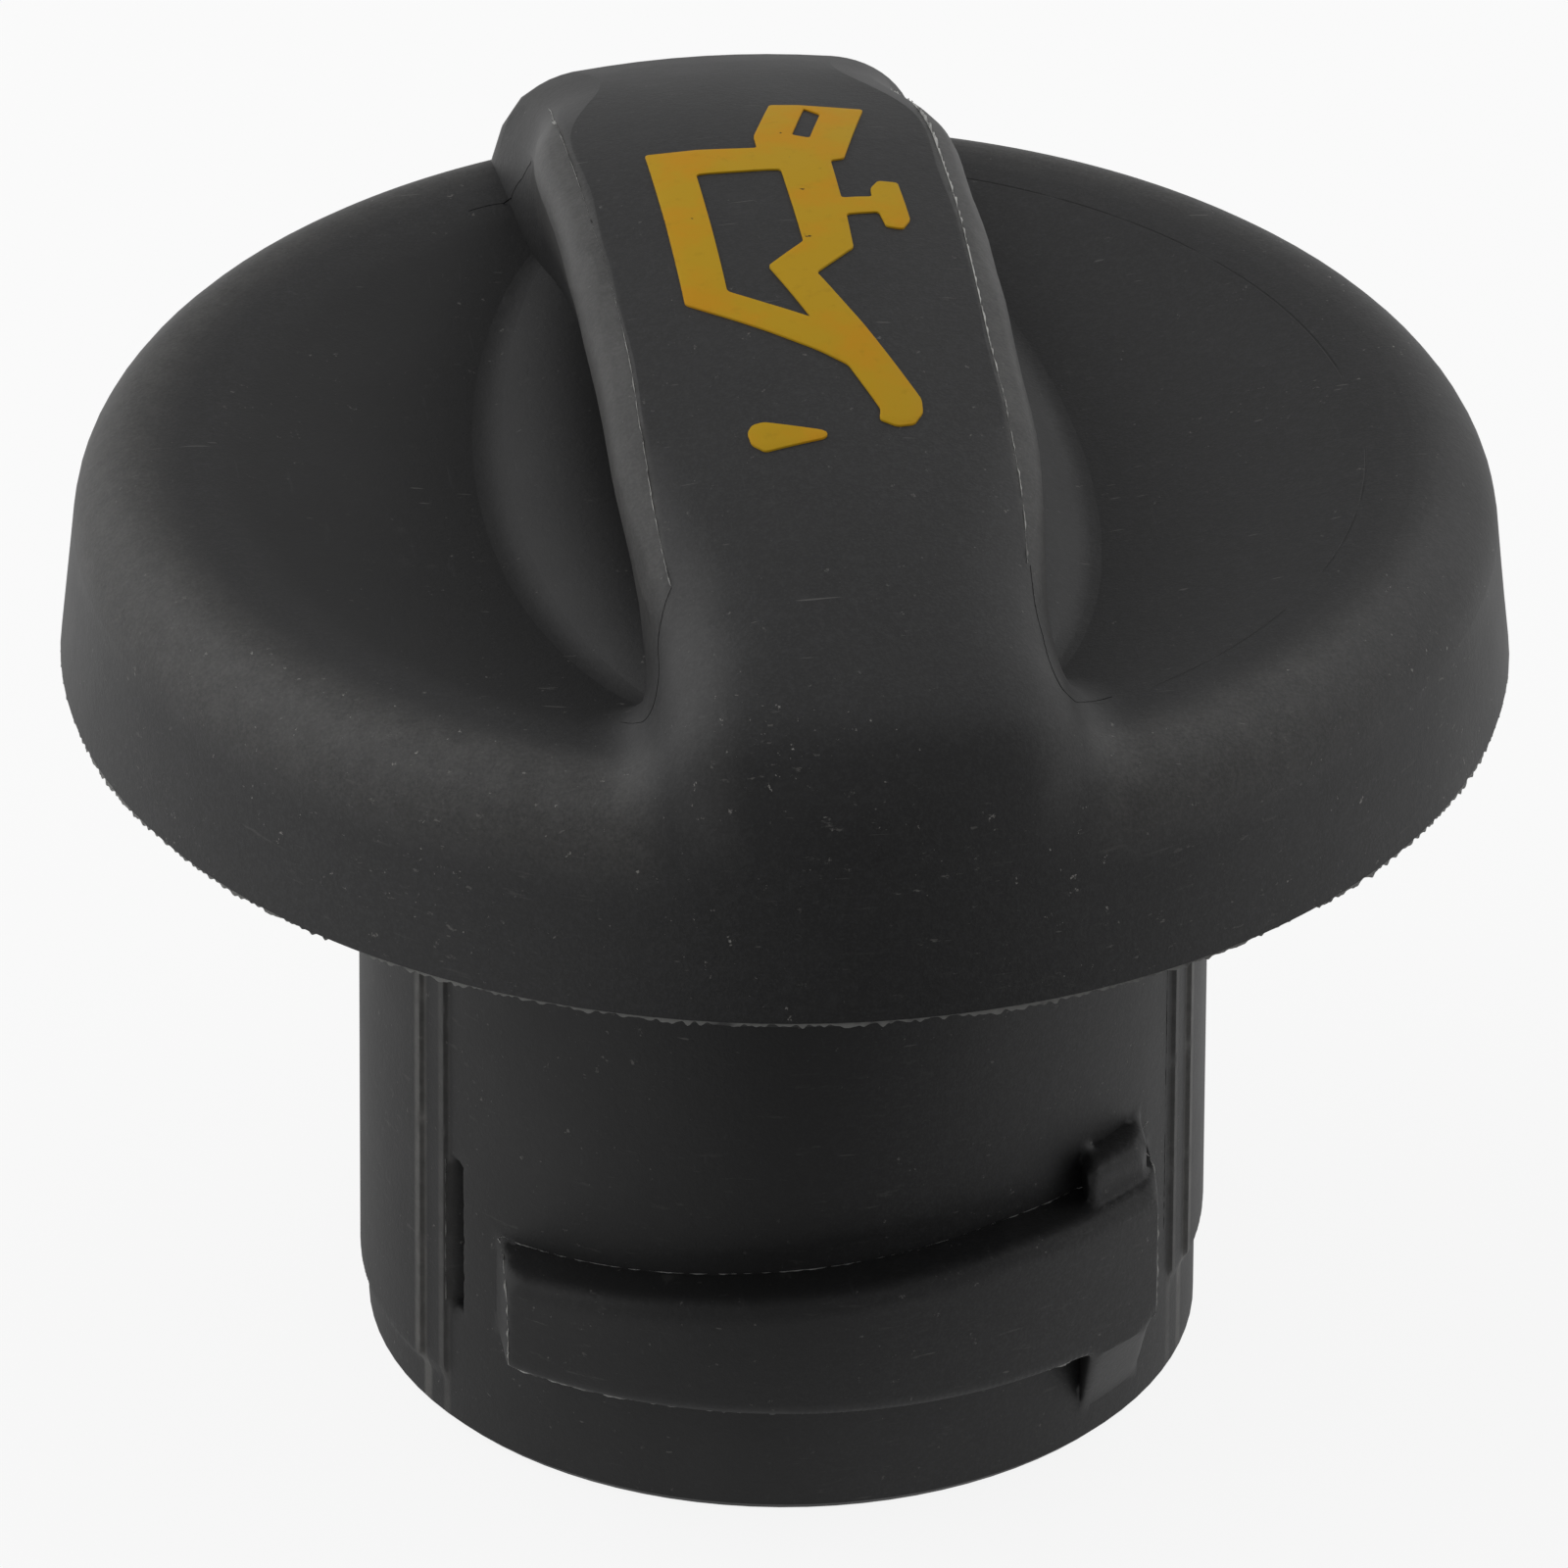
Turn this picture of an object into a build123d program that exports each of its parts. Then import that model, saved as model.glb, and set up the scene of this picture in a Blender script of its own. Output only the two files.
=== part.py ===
"""Bayonet oil filler cap: one moulded body with an arched bar grip, and its rubber seal ring.

The cap stands on the foot of its spigot. The origin is the centre of that foot, +Z runs up the
cap's axis and the grip runs along Y.
"""

import os
from math import radians, sqrt, tan

from build123d import *

# Skirt and rim of the disc
skirt_radius = 33.0
skirt_depth = 10.2
skirt_draft = 5.5
skirt_wall = 2.4
rim_height = 45.0
rim_round = 3.8

# Dish of the disc's upper face
rim_width = 6.7
dish_depth = 3.0
dish_crest_round = 12.0
plate_wall = 3.2

# Grip: an arch along Y with a crowned top, undercut for the fingers in its middle and splayed at its ends
grip_rise = 10.8
grip_arch_drop = 8.77
grip_crown_radius = 50.0
grip_edge_half_width = 10.05
grip_undercut = 14.0
grip_end_half_width = 10.1
grip_end_draft = 18.0
grip_edge_round = 1.9
grip_soft_edge_round = 4.6
grip_soft_length = 14.0
grip_end_setback = 5.0
grip_station_count = 15
grip_end_round = 3.8
grip_end_inset = 0.04
grip_core_half_width = 5.4
grip_core_length = 24.0
grip_core_round = 1.5
grip_roof = 3.6

# Low shoulder that swells out of the dish along the grip
shoulder_reach = 13.1
shoulder_drop = 0.6
shoulder_crest_reach = 9.0
shoulder_foot_lift = 0.7
shoulder_sweep_radius = 100.0
shoulder_foot_round = 2.0
shoulder_end_setback = 8.0

# Spigot tube and the pads on its two sides
spigot_radius = 19.05
spigot_wall = 2.5
foot_bevel = 0.4
pad_lift = 0.4
pad_half_width = 7.9
pad_shoulder_lift = 0.2
pad_shoulder_half_width = 9.3
left_pad_bottom = 2.4
right_pad_bottom = 5.0

# Narrow slots beside the pads
slot_width = 0.9
slot_depth = 1.0
slot_bottom = 6.4
slot_height = 7.8

# Bayonet lugs, one on each end of the grip's line
lug_lift = 2.55
lug_bottom = 6.65
lug_entry_reach = 14.75
lug_lock_reach = 15.25
lug_entry_height = 11.6
lug_lock_height = 14.0
lug_ramp_length = 22.4
lug_edge_bevel = 0.45

# Stop block and gusset at the locking end of each lug
stop_width = 3.1
stop_inset = 0.4
stop_lift = 1.65
stop_height = 15.9
stop_bevel = 0.4
gusset_bottom = 1.9

# Seal ring, its groove and the ribbed collar that backs it
seal_reach = 5.35
seal_thickness = 3.6
seal_bevel = 1.0
seal_fit = 0.1
groove_depth = 0.65
collar_reach = 6.15
collar_wall = 2.3
collar_height = 32.3
collar_rib_count = 12
collar_rib_width = 1.6

# Heights and radii that follow from the sizes above
skirt_bottom = rim_height - skirt_depth
grip_top = rim_height + grip_rise
shoulder_height = rim_height - shoulder_drop
bore_radius = spigot_radius - spigot_wall
groove_radius = spigot_radius - groove_depth
lug_radius = spigot_radius + lug_lift
stop_radius = spigot_radius + stop_lift
seal_outer_radius = spigot_radius + seal_reach
collar_radius = spigot_radius + collar_reach
seal_bottom = collar_height - seal_thickness
seal_width = seal_outer_radius - groove_radius - seal_fit
dish_floor = rim_height - dish_depth
plate_underside = dish_floor - plate_wall
dish_radius = skirt_radius - rim_width
dish_sphere_radius = (dish_radius**2 + dish_depth**2) / (2 * dish_depth)
grip_arch_radius = (skirt_radius**2 + grip_arch_drop**2) / (2 * grip_arch_drop)
shoulder_swell = shoulder_reach - shoulder_crest_reach
shoulder_swell_drop = shoulder_height - dish_floor - shoulder_foot_lift
shoulder_swell_radius = (shoulder_swell**2 + shoulder_swell_drop**2) / (2 * shoulder_swell_drop)
grip_end_reach = skirt_radius - grip_end_setback
grip_mid_reach = grip_end_reach - grip_soft_length
shoulder_end_reach = skirt_radius - shoulder_end_setback
slot_reach = sqrt(spigot_radius**2 - pad_shoulder_half_width**2)
lug_root_radius = spigot_radius - spigot_wall / 2
core_bottom = plate_underside - plate_wall
trim_bottom = plate_underside + plate_wall / 2
above_grip = grip_top + plate_wall
beyond_disc = 2 * skirt_radius
beyond_grip = skirt_radius + skirt_wall


def skirt_side(height):
    """Outer radius of the drafted skirt at a height."""
    return skirt_radius - (height - skirt_bottom) * tan(radians(skirt_draft))


def arch_height(along):
    """Height of the grip's crest at a distance along Y."""
    return grip_top - grip_arch_radius + sqrt(grip_arch_radius**2 - along**2)


def end_share(along):
    """Smooth share of the way from the grip's even middle to its soft end."""
    past_middle = (abs(along) - grip_mid_reach) / (grip_end_reach - grip_mid_reach)
    past_middle = min(max(past_middle, 0), 1)
    return past_middle**2 * (3 - 2 * past_middle)


def blend(middle, end, along):
    """Value between that of the grip's middle and that of its end."""
    return middle + end_share(along) * (end - middle)


def on_shoulder_foot(edge):
    """Whether an edge runs along the foot of a shoulder, where it meets the dish."""
    middle = edge @ 0.5
    return abs(middle.X) > shoulder_crest_reach and abs(middle.Y) < plate_wall


# Grip blank: crowned sections joined along Y, trimmed to the disc's outline and rounded at both ends
station_pitch = 2 * beyond_grip / (grip_station_count - 1)
with BuildPart() as grip_blank:
    for station in range(grip_station_count):
        along = station * station_pitch - beyond_grip
        crest = arch_height(along)
        slope = tan(radians(blend(-grip_undercut, grip_end_draft, along)))
        end_edge_half_width = grip_end_half_width - (crest - rim_height) * tan(radians(grip_end_draft))
        edge_half_width = blend(grip_edge_half_width, end_edge_half_width, along)
        edge_height = crest - grip_crown_radius + sqrt(grip_crown_radius**2 - edge_half_width**2)
        foot_half_width = edge_half_width + (edge_height - plate_underside) * slope
        with BuildSketch(Plane.XZ.offset(-along)):
            with BuildLine():
                crown = ThreePointArc(
                    (-edge_half_width, edge_height), (0, crest), (edge_half_width, edge_height)
                )
                Polyline(
                    crown @ 1,
                    (foot_half_width, plate_underside),
                    (-foot_half_width, plate_underside),
                    crown @ 0,
                )
            make_face()
            edge_round = blend(grip_edge_round, grip_soft_edge_round, along)
            fillet(vertices().group_by(Axis.Y)[-1], radius=edge_round)
    loft()
    with BuildSketch(Plane.XZ):
        with BuildLine():
            Polyline(
                (0, trim_bottom),
                (skirt_side(trim_bottom) - grip_end_inset, trim_bottom),
                (skirt_side(above_grip) - grip_end_inset, above_grip),
                (0, above_grip),
                close=True,
            )
        make_face()
    revolve(axis=Axis.Z, mode=Mode.INTERSECT)
    for end_face in (grip_blank.faces().sort_by(Axis.Y)[0], grip_blank.faces().sort_by(Axis.Y)[-1]):
        end_edges = end_face.edges().filter_by(lambda edge: edge.center().Z > trim_bottom + grip_end_inset)
        fillet(end_edges, radius=grip_end_round)

# Shoulder that swells along the grip's -X side, round on top and curved in plan
shoulder_axis = Axis((shoulder_sweep_radius - shoulder_reach, 0, 0), (0, 0, 1))
with BuildPart() as shoulder:
    with BuildSketch(Plane.XZ):
        with Locations((-shoulder_crest_reach, shoulder_height - shoulder_swell_radius)):
            Circle(shoulder_swell_radius)
    revolve(axis=shoulder_axis)
    with Locations((0, 0, trim_bottom)):
        Box(
            2 * shoulder_reach,
            2 * shoulder_end_reach,
            shoulder_height,
            align=(Align.MAX, Align.CENTER, Align.MIN),
            mode=Mode.INTERSECT,
        )

# Bayonet lug on the -Y side: pulled straight along Y, with a rising ramp on its upper face
ramp_end = lug_ramp_length - lug_entry_reach
with BuildPart() as lug:
    with BuildSketch(Plane.XZ):
        with BuildLine():
            Polyline(
                (-lug_entry_reach, lug_bottom),
                (lug_lock_reach, lug_bottom),
                (lug_lock_reach, lug_lock_height),
                (ramp_end, lug_lock_height),
                (-lug_entry_reach, lug_entry_height),
                close=True,
            )
        make_face()
    extrude(amount=lug_radius + pad_lift)
    with BuildSketch():
        Circle(lug_radius)
        Circle(lug_root_radius, mode=Mode.SUBTRACT)
    extrude(amount=skirt_bottom, mode=Mode.INTERSECT)
    lug_face = lug.faces().sort_by(Axis.Y)[0]
    ramp_edges = lug_face.edges().filter_by_position(Axis.Z, lug_entry_height, skirt_bottom)
    chamfer(ramp_edges, length=lug_edge_bevel)

# Stop block that stands on the lug's locking end
stop_centre = lug_lock_reach - stop_inset - stop_width / 2
with BuildPart() as stop_block:
    with BuildSketch(Plane.XZ):
        with Locations((stop_centre, lug_bottom)):
            Rectangle(stop_width, stop_height - lug_bottom, align=(Align.CENTER, Align.MIN))
    extrude(amount=lug_radius)
    with BuildSketch():
        Circle(stop_radius)
        Circle(lug_root_radius, mode=Mode.SUBTRACT)
    extrude(amount=skirt_bottom, mode=Mode.INTERSECT)
    stop_face = stop_block.faces().sort_by(Axis.Y)[0]
    open_edges = stop_face.edges().filter_by(lambda edge: edge.center().Z > lug_bottom)
    chamfer(open_edges, length=stop_bevel)

# Gusset that tapers into the spigot under the lug's locking end
with BuildPart() as gusset:
    with BuildSketch(Plane.XZ):
        with BuildLine():
            Polyline(
                (lug_root_radius, lug_bottom),
                (lug_radius, lug_bottom),
                (spigot_radius, gusset_bottom),
                (lug_root_radius, gusset_bottom),
                close=True,
            )
        make_face()
    revolve(axis=Axis.Z)
    with BuildSketch(Plane.XZ):
        with Locations((stop_centre, 0)):
            Rectangle(stop_width, skirt_bottom, align=(Align.CENTER, Align.MIN))
    extrude(amount=lug_radius, mode=Mode.INTERSECT)

# Cap body: turned section of spigot, collar, plate and skirt, then the grip, shoulders and lugs
with BuildPart() as cap_body:
    with BuildSketch(Plane.XZ):
        with BuildLine():
            Polyline(
                (bore_radius, 0),
                (spigot_radius, 0),
                (spigot_radius, seal_bottom),
                (groove_radius, seal_bottom),
                (groove_radius, collar_height),
                (spigot_radius, collar_height),
                (spigot_radius, plate_underside),
                (collar_radius - collar_wall, plate_underside),
                (collar_radius - collar_wall, collar_height),
                (collar_radius, collar_height),
                (collar_radius, plate_underside),
                (skirt_side(plate_underside) - skirt_wall, plate_underside),
                (skirt_radius - skirt_wall, skirt_bottom),
                (skirt_radius, skirt_bottom),
                (skirt_side(rim_height), rim_height),
                (dish_radius, rim_height),
            )
            RadiusArc((dish_radius, rim_height), (0, dish_floor), dish_sphere_radius)
            Polyline((0, dish_floor), (0, plate_underside), (bore_radius, plate_underside), (bore_radius, 0))
        make_face()
        rim_corner = vertices().group_by(Axis.Y)[-1].sort_by(Axis.X)[-1]
        fillet(rim_corner, radius=rim_round)
        dish_crest = vertices().group_by(Axis.Y)[-1].sort_by(Axis.X)[0]
        fillet(dish_crest, radius=dish_crest_round)
        foot_corner = vertices().group_by(Axis.Y)[0].sort_by(Axis.X)[-1]
        chamfer(foot_corner, length=foot_bevel)
    revolve(axis=Axis.Z)
    with PolarLocations((spigot_radius + collar_radius - collar_wall) / 2, collar_rib_count):
        with Locations((0, 0, collar_height)):
            Box(
                collar_radius - spigot_radius - collar_wall / 2,
                collar_rib_width,
                plate_underside + plate_wall / 2 - collar_height,
                align=(Align.CENTER, Align.CENTER, Align.MIN),
            )
    add(grip_blank.part)
    with PolarLocations(0, 2):
        add(shoulder.part)
    fillet(cap_body.edges(Select.LAST).filter_by(on_shoulder_foot), radius=shoulder_foot_round)
    with BuildSketch(Plane.XY.offset(core_bottom)):
        RectangleRounded(2 * grip_core_half_width, grip_core_length, grip_core_round)
    extrude(amount=grip_top - grip_roof - core_bottom, mode=Mode.SUBTRACT)
    for pad_bottom, side in ((left_pad_bottom, Align.MAX), (right_pad_bottom, Align.MIN)):
        for lift, half_width in ((pad_lift, pad_half_width), (pad_shoulder_lift, pad_shoulder_half_width)):
            with BuildSketch(Plane.XY.offset(pad_bottom)):
                Circle(spigot_radius + lift)
                Rectangle(beyond_disc, 2 * half_width, align=(side, Align.CENTER), mode=Mode.INTERSECT)
                Circle(lug_root_radius, mode=Mode.SUBTRACT)
            extrude(amount=seal_bottom - pad_bottom)
    with PolarLocations(0, 2):
        add(lug.part)
        add(stop_block.part)
        add(gusset.part)
        with Locations((-slot_reach, -pad_shoulder_half_width, slot_bottom)):
            Box(
                2 * slot_depth,
                slot_width,
                slot_height,
                align=(Align.CENTER, Align.MAX, Align.MIN),
                mode=Mode.SUBTRACT,
            )

# Seal ring: stretched into the groove below the collar, bevelled where it meets the filler neck
with BuildPart() as seal_ring:
    with BuildSketch(Plane.XZ):
        with Locations((groove_radius + seal_fit, collar_height)):
            Rectangle(seal_width, seal_thickness, align=(Align.MIN, Align.MAX))
        chamfer(vertices().group_by(Axis.Y)[0], length=seal_bevel)
    revolve(axis=Axis.Z)

cap_body.part.label = "cap_body"
seal_ring.part.label = "seal_ring"

os.makedirs("parts", exist_ok=True)
export_step(cap_body.part, "parts/cap_body.step")
export_step(seal_ring.part, "parts/seal_ring.step")
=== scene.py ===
"""Looks and studio stage of a bayonet oil filler cap, laid out as an add-on and run as a script."""

from functools import partial
from math import atan, ceil, cos, hypot, pi, radians, sin

import bmesh
import bpy
from bpy.props import FloatProperty, FloatVectorProperty, IntProperty, PointerProperty
from bpy.types import Operator, Panel, PropertyGroup
from mathutils import Matrix, Vector, noise
from mathutils.bvhtree import BVHTree
from mathutils.geometry import barycentric_transform
from mathutils.kdtree import KDTree


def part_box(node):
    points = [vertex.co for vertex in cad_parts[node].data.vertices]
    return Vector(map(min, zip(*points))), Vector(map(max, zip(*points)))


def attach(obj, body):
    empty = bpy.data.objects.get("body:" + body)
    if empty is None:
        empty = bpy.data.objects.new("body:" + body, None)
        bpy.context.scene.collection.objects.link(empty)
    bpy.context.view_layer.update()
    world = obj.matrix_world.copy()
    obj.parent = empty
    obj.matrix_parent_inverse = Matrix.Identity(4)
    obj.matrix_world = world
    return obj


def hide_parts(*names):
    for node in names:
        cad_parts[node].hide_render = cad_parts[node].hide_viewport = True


bl_info = {
    "name": "Oil Filler Cap",
    "version": (1, 0, 0),
    "blender": (4, 5, 0),
    "location": "View3D > Sidebar > Filler Cap",
    "description": "Finish, raised sign, moulding flash and studio stage of an oil filler cap",
    "category": "Object",
}

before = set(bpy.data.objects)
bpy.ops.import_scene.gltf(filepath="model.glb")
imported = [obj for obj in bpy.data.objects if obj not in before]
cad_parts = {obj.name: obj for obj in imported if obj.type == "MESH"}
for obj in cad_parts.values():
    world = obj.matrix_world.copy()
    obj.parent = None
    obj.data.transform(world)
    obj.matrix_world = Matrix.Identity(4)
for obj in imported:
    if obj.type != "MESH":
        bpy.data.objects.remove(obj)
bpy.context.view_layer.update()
body_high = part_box("cap_body")[1]
MM = 0.001
BODY_NAME = "moulded_body"
MERGE_DISTANCE = 0.001 * MM
SMOOTH_ANGLE = radians(40)

# Corners of the sign on the grip's top, in millimetres: an oil can seen from above, and its drop
CAN_OUTLINE = (
    (-5.1, 10.7), (-0.05, 10.0), (0.0, 11.5), (1.3, 15.9), (5.55, 15.3), (3.75, 8.55), (3.1, 8.3),
    (3.05, 4.2), (4.45, 4.3), (4.5, 5.2), (4.95, 6.05), (5.85, 5.9), (5.9, 2.05), (5.45, 1.15),
    (4.7, 1.35), (4.55, 2.75), (3.05, 2.55), (2.95, -0.6), (1.0, -2.6), (4.45, -12.25), (4.4, -13.1),
    (3.9, -13.9), (3.1, -14.05), (2.35, -13.6), (2.5, -12.9), (1.45, -9.8), (0.45, -8.85), (-5.2, -4.2),
)
CAN_HOLLOW = ((-3.15, 7.6), (0.7, 7.4), (0.75, 0.1), (-1.1, -1.8), (0.25, -6.25), (-3.2, -3.6))
LID_HOLLOW = ((2.8, 15.2), (3.45, 14.4), (2.5, 11.0), (1.75, 11.5))
DROP_OUTLINE = (
    (-3.65, -13.85), (-3.4, -13.4), (-2.85, -13.3), (-0.25, -14.15),
    (-0.05, -14.4), (-0.25, -14.65), (-3.0, -15.15), (-3.55, -14.6),
)

# Guide points of the moulding's fine lines, in millimetres
GRIP_PARTING = (
    (7.9, 23.0, 50.3), (8.25, 14.4, 53.5), (8.25, 2.8, 55.0),
    (8.1, -4.4, 55.0), (8.15, -11.0, 54.2), (8.1, -21.0, 50.9),
)
LUG_CREASE = (
    (-14.6, -12.3, 11.65), (-9.7, -16.4, 12.2), (-5.4, -18.3, 12.7), (1.0, -19.0, 13.3),
    (7.2, -17.7, 14.0), (10.4, -16.0, 14.05), (11.7, -15.1, 14.05),
)
LUG_ENTRY = ((-14.75, -12.3, 11.6), (-14.75, -15.4, 11.5), (-14.75, -15.8, 9.5), (-14.75, -15.8, 6.7))
LUG_LOWER = (
    (-14.7, -15.8, 6.65), (-12.2, -17.8, 6.65), (-4.6, -21.1, 6.65), (4.0, -21.2, 6.65), (12.0, -17.9, 6.65),
)
LUG_LOCK = ((15.3, -11.4, 15.0), (15.3, -14.9, 13.8), (15.3, -15.2, 10.0), (15.3, -15.2, 6.8))
SLOT_EDGE = ((-16.75, -9.25, 6.6), (-16.75, -9.25, 10.0), (-16.75, -9.25, 14.2))
INSERT_CORNER_FRONT = (
    (-8.1, -21.1, 50.9), (-8.6, -21.7, 49.7), (-8.9, -22.2, 48.5), (-9.0, -23.6, 47.9),
    (-9.2, -24.7, 46.8), (-9.6, -24.2, 45.3), (-10.4, -22.7, 44.7),
)
INSERT_CORNER_BACK = ((-8.9, 21.5, 48.5), (-9.3, 23.6, 46.2), (-10.1, 24.2, 44.9), (-11.6, 23.5, 44.9))
INSERT_CORNER_LOCK = (
    (8.3, -21.0, 50.8), (8.6, -24.6, 49.2), (8.7, -26.9, 48.0),
    (9.2, -26.6, 47.2), (10.2, -24.0, 45.0), (11.6, -23.1, 44.9),
)
# Painted shadow line along the step beside the right pad's edge
PAD_STEP_SHADOW_RIGHT = ((16.5, -9.85, 7.5), (16.5, -9.85, 15.0), (16.5, -9.85, 27.0))

# Fine sizes of those lines, of the burr under the skirt and of the sign, in metres
FIN_SINK = 0.06 * MM
GAP_HEIGHT = 0.03 * MM
GAP_WIDTH = 0.10 * MM
SKIRT_LOW = 34.8 * MM
BURR_INSET = 0.08 * MM
BURR_OVERLAP = 0.05 * MM
BURR_LEAST = 0.10 * MM
SIGN_SINK = 0.05 * MM
SIGN_PITCH = 0.6 * MM

# Rises a metre along the ragged edges of the lines and of the burr, and the burr's segments round the skirt
FIN_RAGS = 2600
BURR_RAGS = 3600
BURR_SEGMENTS = 2400

# Room round the grip's front end, in millimetres, and where its relaxing starts and is full
END_ACROSS = 16.5
END_ALONG = 19.0
END_HEIGHT = 39.5
CROWN_ALONG = 12.0
CROWN_HEIGHT = 46.0
CREASE_HEIGHT = 42.5
BLEND_ACROSS = 16.0
BLEND_HEIGHT = 40.0
HOLLOW_ALONG = (19.5, 23.5)
CREST_ALONG = (22.5, 26.0)
CREST_HEIGHT = (41.0, 43.5)
CREST_ACROSS = (12.0, 10.0)
CROWN_RISE_ALONG = (12.0, 17.0)
CROWN_RISE_HEIGHT = (46.5, 48.5)
CROWN_RISE_FACING = (0.3, 0.6)

# Room round the spigot's outer edges, in millimetres: radius, heights of the edges, top of the softening, step
SPIGOT_OUTSIDE = 18.4
SPIGOT_HEIGHTS = (1.0, 29.5)
SOFT_TOP = 28.5
EDGE_STEP = 0.4

# Least turn of a sharp edge on the spigot and of a crease at the grip, in radians
EDGE_ANGLE = 0.6
CREASE_ANGLE = 0.5

# Least share that is relaxed, and how fast the shading turns from the CAD mesh's own and evens out as it grows
LEAST_SHARE = 0.001
BLEND_SHADING = 6
EDGE_SHADING = 20
EVENING = 4

# Where the nylon's finish changes, in metres: each pair is where a change starts and where it is full
# Painted shade on the dish floor left of the grip
DISH_RADIUS = (0.0275, 0.0240)
DISH_HEIGHT = (0.0456, 0.0446)
DISH_LEFT = (0.004, -0.004)
RIM_RADIUS = (0.0270, 0.0298)
RIM_HEIGHT = (0.0400, 0.0432)
RIM_BESIDE_GRIP = (0.0088, 0.0112)
RIM_LEFT = (0.0340, 0.0160)
# Painted highlights on the grip's side bands and on the sides of its ends
BAND_ACROSS = (0.0079, 0.0083)
BAND_HEIGHT = (0.0455, 0.0490)
BAND_ALONG = (0.0235, 0.0190)
TIP_MIDDLE = 0.00055
TIP_INNER = (0.0060, 0.0078)
TIP_OUTER = (0.0104, 0.0082)
TIP_HEIGHT = (0.0415, 0.0445)
TIP_ALONG = (0.0180, 0.0235)
STREAK_RADIUS = (0.0150, 0.0180)
STREAK_HEIGHT = (0.0445, 0.0420)
SKIRT_RADIUS = (0.0265, 0.0300)
SKIRT_HEIGHT = (0.0340, 0.0350)
# Painted highlight lines along the pads' edges
PAD_EDGE_INNER = 0.0078
PAD_EDGE_OUTER = 0.0092
PAD_HIGHLIGHT_WIDE = (0.00042, 0.00016)
PAD_HIGHLIGHT_FINE = (0.00032, 0.00012)
PAD_ACROSS = (0.0160, 0.0168)
PAD_HEIGHT = (0.0292, 0.0284)
CIRCLE_RADIUS = 0.0263
CIRCLE_WIDTH = (0.00007, 0.00003)
CIRCLE_RIGHT = (0.0095, 0.0110)
CIRCLE_LOW = (0.0432, 0.0436)
CIRCLE_HIGH = (0.0466, 0.0460)

# Places and sizes of the studio's lamps on the +X side and of the dark card in front, in metres
SIDE_BOX_PLACE = (0.5, 0.2, 0.28)
SIDE_BOX_SIZE = (1.0, 0.5)
ROOF_BOX_PLACE = (0.36, 0.12, 0.62)
ROOF_BOX_SIZE = (0.7, 0.36)
CARD_ACROSS = (-0.036, 0.046)
CARD_ALONG = (-0.6, -0.040)
CARD_HEIGHT = 0.0005
FLOOR_REACH = (-3.0, 3.0)
PAPER_SEEN = 0.88
PAPER_MIRRORED = 0.5


class CapFinishSettings(PropertyGroup):
    """Colours and surface of the moulding and its seal."""

    nylon_colour: FloatVectorProperty(
        name="Nylon", description="Colour of the moulded body", subtype="COLOR", size=3,
        default=(0.0120, 0.0120, 0.0125), min=0, max=1,
    )
    nylon_roughness: FloatProperty(
        name="Nylon roughness", description="Gloss of the moulded body", subtype="FACTOR",
        default=0.55, min=0, max=1,
    )
    grain_height: FloatProperty(
        name="Grain height", description="Depth of the moulding's fine grain", unit="LENGTH",
        default=0.000016, precision=7,
    )
    # Also colours the painted highlights on the grip's sides and the pads' edges
    speck_colour: FloatVectorProperty(
        name="Specks", description="Colour of dust and scuffs", subtype="COLOR", size=3,
        default=(0.36, 0.35, 0.33), min=0, max=1,
    )
    rubber_colour: FloatVectorProperty(
        name="Rubber", description="Colour of the seal ring", subtype="COLOR", size=3,
        default=(0.012, 0.012, 0.012), min=0, max=1,
    )


class CapSignSettings(PropertyGroup):
    """Sizes and colour of the raised sign on the grip."""

    paint_colour: FloatVectorProperty(
        name="Paint", description="Colour of the sign", subtype="COLOR", size=3,
        default=(0.50, 0.30, 0.012), min=0, max=1,
    )
    height: FloatProperty(
        name="Height", description="How far the sign stands up from the grip", unit="LENGTH",
        default=0.00015, precision=6,
    )
    edge_round: FloatProperty(
        name="Edge round", description="Rounding of the sign's upper edge", unit="LENGTH",
        default=0.00006, precision=6,
    )
    corner_round: FloatProperty(
        name="Corner round", description="Rounding of the sign's corners in plan", unit="LENGTH",
        default=0.00018, precision=6,
    )


class CapFlashSettings(PropertyGroup):
    """Sizes and colour of the thin flash that the mould leaves."""

    flash_colour: FloatVectorProperty(
        name="Flash", description="Colour of thin whitened flash", subtype="COLOR", size=3,
        default=(0.80, 0.80, 0.78), min=0, max=1,
    )
    burr_colour: FloatVectorProperty(
        name="Burr", description="Colour of the burr under the skirt", subtype="COLOR", size=3,
        default=(0.34, 0.34, 0.33), min=0, max=1,
    )
    line_width: FloatProperty(
        name="Line width", description="Thickness of a flash line", unit="LENGTH",
        default=0.00019, precision=6,
    )
    line_height: FloatProperty(
        name="Line height", description="How far a flash line stands up", unit="LENGTH",
        default=0.00020, precision=6,
    )
    burr_depth: FloatProperty(
        name="Burr depth", description="Depth of the burr under the skirt", unit="LENGTH",
        default=0.00030, precision=6,
    )


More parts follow.
